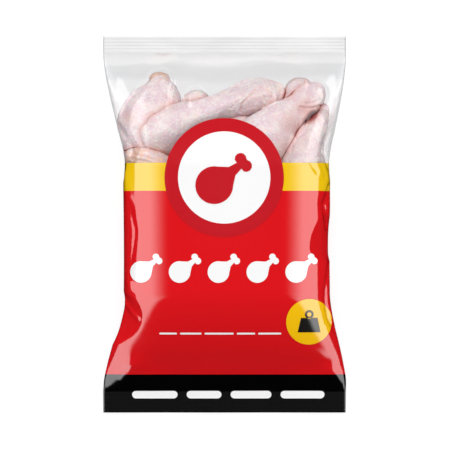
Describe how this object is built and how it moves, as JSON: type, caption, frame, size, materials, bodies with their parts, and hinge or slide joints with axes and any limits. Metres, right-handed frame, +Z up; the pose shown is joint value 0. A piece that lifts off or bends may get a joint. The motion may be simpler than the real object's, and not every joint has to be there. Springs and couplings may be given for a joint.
{
  "type": "bag of frozen chicken drumsticks",
  "caption": "Sealed pillow bag of frozen chicken drumsticks with a clear upper window and plain yellow, red and black printed fields, lying on its back.",
  "frame": {"origin": "on the surface that the bag lies on, under the middle of its bounding box", "axes": "+Y along the bag from the printed foot to the clear top seal, +Z up out of the printed face, +X to the right of the printed face"},
  "size_m": [0.3201, 0.497, 0.1036],
  "materials": {
    "bag_film": "glossy film printed in fields of red, yellow, black and white",
    "clear_film": "glossy clear film, with a faintly milky heat seal",
    "chicken_skin": "moist raw chicken skin, frosted and mottled pink"
  },
  "bodies": {
    "root": {"bag": "bag_film"}
  },
  "joints": []
}
